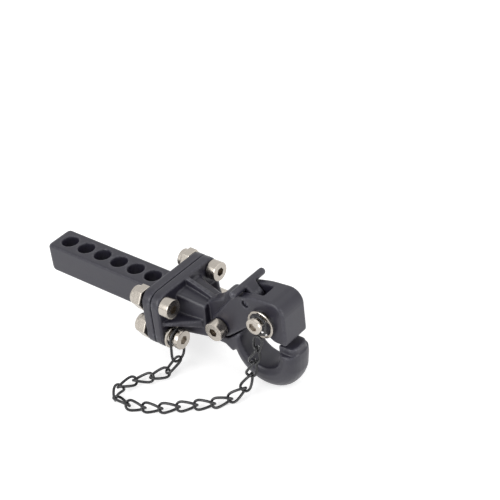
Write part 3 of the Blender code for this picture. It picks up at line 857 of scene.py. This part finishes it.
class TOWHOOK_OT_nut_inserts(bpy.types.Operator):
    """Add the nylon ring inside the collar of each lock nut"""

    bl_idname = "towhook.nut_inserts"
    bl_label = "Nut inserts"

    def execute(self, context):
        nylon = bpy.data.materials["nylon_insert"]
        for node in NUT_NODES:
            low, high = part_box(node)
            centre = (low + high) / 2
            deselect_all()
            bpy.ops.mesh.primitive_torus_add(
                major_segments=INSERT_SIDES,
                minor_segments=INSERT_WIRE_SIDES,
                major_radius=INSERT_RADIUS,
                minor_radius=INSERT_WIRE_RADIUS,
            )
            ring = named_piece(f"{node}_insert")
            placed_along(ring, (low.x + INSERT_DEPTH, centre.y, centre.z), (-1.0, 0.0, 0.0))
            outward(ring, INSERT_CREASE)
            finish_piece(ring, nylon, body_of_node(node))
        return {"FINISHED"}


# Studio
def light_path_share(tree):
    """1 for rays from the camera, mirrors and glass, 0 for the rest."""
    path = tree.nodes.new("ShaderNodeLightPath")
    share = path.outputs["Is Camera Ray"]
    for label in ("Is Glossy Ray", "Is Transmission Ray"):
        share = calculated(tree, "MAXIMUM", share, path.outputs[label])
    return share


def white_light(tree, strength):
    light = tree.nodes.new("ShaderNodeBackground")
    light.inputs["Color"].default_value = WHITE
    light.inputs["Strength"].default_value = strength
    return light.outputs[0]


def white_surroundings(strength):
    """Even light of a strength on the object, and plain white where it is seen."""
    world = bpy.data.worlds.new("white_surroundings")
    bpy.context.scene.world = world
    world.use_nodes = True
    tree = world.node_tree
    tree.nodes.clear()
    out = tree.nodes.new("ShaderNodeOutputWorld")
    mix = tree.nodes.new("ShaderNodeMixShader")
    tree.links.new(light_path_share(tree), mix.inputs["Fac"])
    tree.links.new(white_light(tree, strength), mix.inputs[1])
    tree.links.new(white_light(tree, 1.0), mix.inputs[2])
    tree.links.new(mix.outputs[0], out.inputs["Surface"])


def pale_floor_material(settings):
    made, tree, shader = new_material("pale_floor")
    shader.inputs["Base Color"].default_value = (*settings.floor_colour, 1.0)
    shader.inputs["Roughness"].default_value = 0.9
    shader.inputs["Specular IOR Level"].default_value = 0.0
    shader.inputs["Emission Color"].default_value = WHITE
    glow = mapped(tree, light_path_share(tree), new=(0.0, settings.floor_glow))
    tree.links.new(glow, shader.inputs["Emission Strength"])
    return made


def softbox(name, place, target, width, height, power):
    deselect_all()
    bpy.ops.object.light_add(type="AREA", location=place)
    lamp = bpy.context.object
    lamp.name = name
    lamp.data.shape = "RECTANGLE"
    lamp.data.size = width
    lamp.data.size_y = height
    lamp.data.energy = power
    lamp.rotation_euler = (Vector(target) - Vector(place)).to_track_quat("-Z", "Y").to_euler()


class TOWHOOK_OT_studio(bpy.types.Operator):
    """Add the floor, the soft lamps, the white surroundings and the camera"""

    bl_idname = "towhook.studio"
    bl_label = "Studio and camera"

    def execute(self, context):
        scene = context.scene
        settings = scene.towhook_studio
        low, high = cad_box
        centre = (low + high) / 2
        deselect_all()
        bpy.ops.mesh.primitive_plane_add(
            size=settings.floor_size, location=(centre.x, centre.y, low.z - FLOOR_GAP)
        )
        floor = named_piece("floor")
        settle(floor)
        floor.data.materials.append(pale_floor_material(settings))
        for name, place, width, height, power in SOFTBOXES:
            softbox(name, place, centre, width, height, getattr(settings, power))
        white_surroundings(settings.ambient)
        bpy.ops.object.camera_add(location=settings.camera_place, rotation=settings.camera_turn)
        camera = bpy.context.object
        camera.name = "photograph_camera"
        camera.data.sensor_width = SENSOR_WIDTH
        camera.data.lens = settings.camera_lens
        camera.data.clip_start = NEAREST_SEEN
        camera.data.clip_end = FURTHEST_SEEN
        scene.camera = camera
        scene.view_settings.view_transform = "Standard"
        return {"FINISHED"}


# What the panel shows: a label, a group of settings and the steps that use it
PANEL_ROWS = (
    ("Coating", "towhook_coating", ("towhook.finishes", "towhook.castings", "towhook.skins")),
    ("Screws, nuts and rings", "towhook_nickel", ("towhook.threads", "towhook.nut_inserts")),
    ("Chain", "towhook_chain", ("towhook.chain_wire",)),
    ("Studio", "towhook_studio", ("towhook.studio",)),
)


class TOWHOOK_PT_panel(bpy.types.Panel):
    """Sizes, colours and steps of the tow hook"""

    bl_idname = "TOWHOOK_PT_panel"
    bl_label = "Tow hook"
    bl_space_type = "VIEW_3D"
    bl_region_type = "UI"
    bl_category = "Tow hook"

    def draw(self, context):
        for label, group, steps in PANEL_ROWS:
            box = self.layout.box()
            box.label(text=label)
            settings = getattr(context.scene, group)
            for name in settings.__annotations__:
                box.prop(settings, name)
            for step in steps:
                box.operator(step)


SETTINGS = (
    ("towhook_coating", TOWHOOK_PG_coating),
    ("towhook_nickel", TOWHOOK_PG_nickel),
    ("towhook_chain", TOWHOOK_PG_chain),
    ("towhook_studio", TOWHOOK_PG_studio),
)

OPERATORS = (
    TOWHOOK_OT_finishes,
    TOWHOOK_OT_castings,
    TOWHOOK_OT_skins,
    TOWHOOK_OT_chain_wire,
    TOWHOOK_OT_threads,
    TOWHOOK_OT_nut_inserts,
    TOWHOOK_OT_studio,
)


def register():
    for _, group in SETTINGS:
        bpy.utils.register_class(group)
    for operator in OPERATORS:
        bpy.utils.register_class(operator)
    bpy.utils.register_class(TOWHOOK_PT_panel)
    for name, group in SETTINGS:
        setattr(bpy.types.Scene, name, PointerProperty(type=group))


def unregister():
    for name, _ in SETTINGS:
        delattr(bpy.types.Scene, name)
    bpy.utils.unregister_class(TOWHOOK_PT_panel)
    for operator in reversed(OPERATORS):
        bpy.utils.unregister_class(operator)
    for _, group in reversed(SETTINGS):
        bpy.utils.unregister_class(group)


def main():
    register()
    bpy.ops.towhook.finishes()
    bpy.ops.towhook.castings()
    bpy.ops.towhook.skins()
    bpy.ops.towhook.chain_wire()
    bpy.ops.towhook.threads()
    bpy.ops.towhook.nut_inserts()
    bpy.ops.towhook.studio()


if __name__ == "__main__":
    main()
